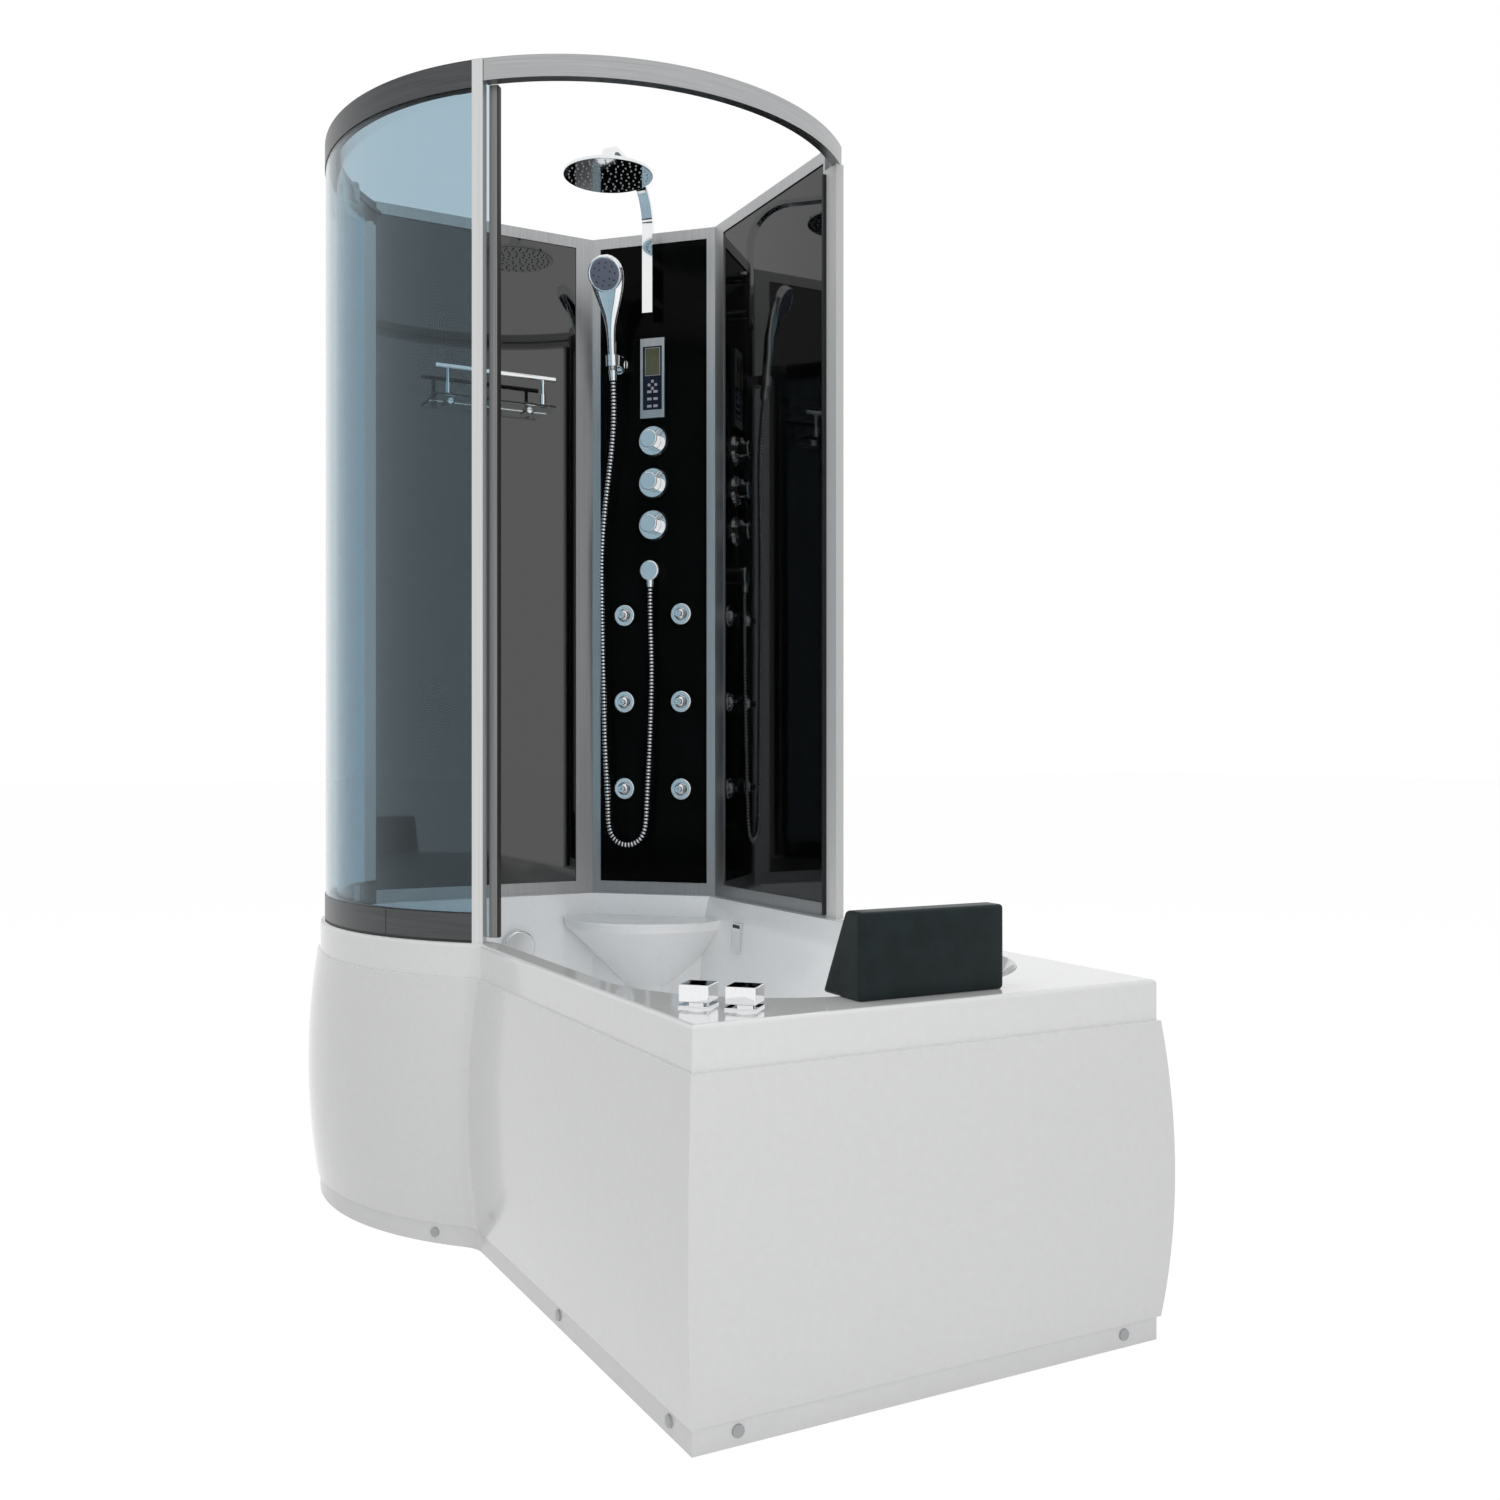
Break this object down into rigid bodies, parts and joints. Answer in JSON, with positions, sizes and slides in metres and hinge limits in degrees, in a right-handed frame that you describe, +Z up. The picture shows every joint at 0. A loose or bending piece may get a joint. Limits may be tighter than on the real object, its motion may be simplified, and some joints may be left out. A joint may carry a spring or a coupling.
{
  "type": "shower cabin with bathtub",
  "caption": "Bath with a swollen shower end, rounded side panels and a round-fronted glass shower cabin with sliding door, shower column, shelf and headrest.",
  "frame": {"origin": "on the floor, under the middle of the box round the object", "axes": "+X to the foot end of the bath, +Y to the rear wall, +Z up"},
  "size_m": [1.733, 0.9887, 2.255],
  "materials": {
    "white_acrylic": "glossy cast acrylic",
    "white_panel": "glossy moulded panel",
    "white_plinth": "semi-gloss",
    "cap_plastic": "satin",
    "frame_steel": "zinc-coated steel tube",
    "foot_plastic": "matte",
    "pipe_plastic": "matte",
    "chrome": "polished",
    "hand_chrome": "polished",
    "holder_chrome": "polished",
    "hose_chrome": "ribbed, polished",
    "headrest_foam": "soft foam skin, dark grey",
    "dark_panel": "high-gloss dark grey",
    "satin_aluminium": "satin anodised",
    "seal_rubber": "matte",
    "tinted_glass": "blue-grey tinted safety glass",
    "shelf_clear_glass": "clear",
    "roller_plastic": "satin grey",
    "control_silver": "silver",
    "keypad_foil": "printed foil, navy",
    "screen_glass": "olive liquid-crystal screen",
    "valve_brass": "cast, unpolished",
    "jet_chrome": "polished"
  },
  "bodies": {
    "bath_and_cabin": {"base_frame": "frame_steel", "bath_spout": "chrome", "bottom_rail": "satin_aluminium", "column_frame": "satin_aluminium", "column_panel": "dark_panel", "control_panel": "control_silver", "display_screen": "screen_glass", "end_apron": "white_panel", "fixed_glass": "tinted_glass", "front_apron": "white_panel", "front_post": "satin_aluminium", "headrest": "headrest_foam", "holder_base": "holder_chrome", "hose_elbow": "chrome", "jet_bodies": "chrome", "keypad": "keypad_foil", "knob_plates": "chrome", "left_end_post": "satin_aluminium", "left_frame": "satin_aluminium", "left_panel": "dark_panel", "levelling_feet": "foot_plastic", "mixing_valve": "valve_brass", "overflow_pipe": "pipe_plastic", "plinth": "white_plinth", "plinth_screw_caps": "cap_plastic", "right_end_post": "satin_aluminium", "right_frame": "satin_aluminium", "right_panel": "dark_panel", "rubber_seals": "seal_rubber", "shelf_brackets": "chrome", "shelf_glass": "shelf_clear_glass", "shelf_rail": "chrome", "shower_arm": "chrome", "shower_hose": "hose_chrome", "tap_bodies": "chrome", "top_rail_left": "satin_aluminium", "top_rail_right": "satin_aluminium", "tub_shell": "white_acrylic", "waste_trap": "pipe_plastic"},
    "sliding_door": {"door_glass": "tinted_glass", "door_stile": "satin_aluminium", "door_rollers": "roller_plastic"},
    "lower_knob": {"knob_lower": "chrome"},
    "middle_knob": {"knob_middle": "chrome"},
    "upper_knob": {"knob_upper": "chrome"},
    "rain_shower": {"rain_head": "chrome"},
    "hand_set": {"holder_clip": "holder_chrome", "hand_shower": "hand_chrome", "hose_nut_hand": "chrome"},
    "hot_tap": {"tap_handle_hot": "chrome"},
    "cold_tap": {"tap_handle_cold": "chrome"},
    "overflow_turner": {"overflow_knob": "chrome"},
    "waste_plug": {"drain_plug": "chrome"},
    "jet_left_1": {"jet_nozzle_left_1": "jet_chrome"},
    "jet_left_2": {"jet_nozzle_left_2": "jet_chrome"},
    "jet_left_3": {"jet_nozzle_left_3": "jet_chrome"},
    "jet_right_1": {"jet_nozzle_right_1": "jet_chrome"},
    "jet_right_2": {"jet_nozzle_right_2": "jet_chrome"},
    "jet_right_3": {"jet_nozzle_right_3": "jet_chrome"}
  },
  "joints": [
    {"name": "door_slide", "type": "hinge", "parent": "bath_and_cabin", "child": "sliding_door", "pos_m": [-0.4665, 0.0945, 0.55], "axis": [0, 0, 1], "range_deg": [0, 83]},
    {"name": "lower_knob_turn", "type": "hinge", "parent": "bath_and_cabin", "child": "lower_knob", "pos_m": [-0.72247, 0.35047, 1.443], "axis": [0.7071, -0.7071, 0], "range_deg": [0, 90]},
    {"name": "middle_knob_turn", "type": "hinge", "parent": "bath_and_cabin", "child": "middle_knob", "pos_m": [-0.72247, 0.35047, 1.545], "axis": [0.7071, -0.7071, 0], "range_deg": [0, 90]},
    {"name": "upper_knob_turn", "type": "hinge", "parent": "bath_and_cabin", "child": "upper_knob", "pos_m": [-0.72247, 0.35047, 1.647], "axis": [0.7071, -0.7071, 0], "range_deg": [-45, 45]},
    {"name": "rain_head_tilt", "type": "hinge", "parent": "bath_and_cabin", "child": "rain_shower", "pos_m": [-0.53509, 0.16309, 2.2095], "axis": [0.7071, 0.7071, 0], "range_deg": [-12, 12]},
    {"name": "hand_holder_tilt", "type": "hinge", "parent": "bath_and_cabin", "child": "hand_set", "pos_m": [-0.78258, 0.29037, 1.83477], "axis": [0.7071, 0.7071, 0], "range_deg": [-4, 20], "deforming": ["shower_hose"]},
    {"name": "jet_left_1_tilt", "type": "hinge", "parent": "bath_and_cabin", "child": "jet_left_1", "pos_m": [-0.78717, 0.31194, 0.803], "axis": [0.7071, 0.7071, 0], "range_deg": [-12, 12]},
    {"name": "jet_left_2_tilt", "type": "hinge", "parent": "bath_and_cabin", "child": "jet_left_2", "pos_m": [-0.78717, 0.31194, 1.014], "axis": [0.7071, 0.7071, 0], "range_deg": [-12, 12]},
    {"name": "jet_left_3_tilt", "type": "hinge", "parent": "bath_and_cabin", "child": "jet_left_3", "pos_m": [-0.78717, 0.31194, 1.225], "axis": [0.7071, 0.7071, 0], "range_deg": [-12, 12]},
    {"name": "jet_right_1_tilt", "type": "hinge", "parent": "bath_and_cabin", "child": "jet_right_1", "pos_m": [-0.68393, 0.41517, 0.803], "axis": [0.7071, 0.7071, 0], "range_deg": [-12, 12]},
    {"name": "jet_right_2_tilt", "type": "hinge", "parent": "bath_and_cabin", "child": "jet_right_2", "pos_m": [-0.68393, 0.41517, 1.014], "axis": [0.7071, 0.7071, 0], "range_deg": [-12, 12]},
    {"name": "jet_right_3_tilt", "type": "hinge", "parent": "bath_and_cabin", "child": "jet_right_3", "pos_m": [-0.68393, 0.41517, 1.225], "axis": [0.7071, 0.7071, 0], "range_deg": [-12, 12]},
    {"name": "hot_tap_turn", "type": "hinge", "parent": "bath_and_cabin", "child": "hot_tap", "pos_m": [0.70317, -0.22084, 0.56], "axis": [0, 0, 1], "range_deg": [0, 90]},
    {"name": "cold_tap_turn", "type": "hinge", "parent": "bath_and_cabin", "child": "cold_tap", "pos_m": [0.74984, -0.17416, 0.56], "axis": [0, 0, 1], "range_deg": [0, 90]},
    {"name": "overflow_turn", "type": "hinge", "parent": "bath_and_cabin", "child": "overflow_turner", "pos_m": [-0.82, 0.0445, 0.433], "axis": [1, 0, 0], "range_deg": [0, 90]},
    {"name": "plug_lift", "type": "slide", "parent": "bath_and_cabin", "child": "waste_plug", "axis": [0, 0, 1], "range_m": [0, 0.0081]}
  ],
  "couplings": [
    {"joint": "plug_lift", "follows": "overflow_turn", "m_per_rad": 0.00509}
  ]
}
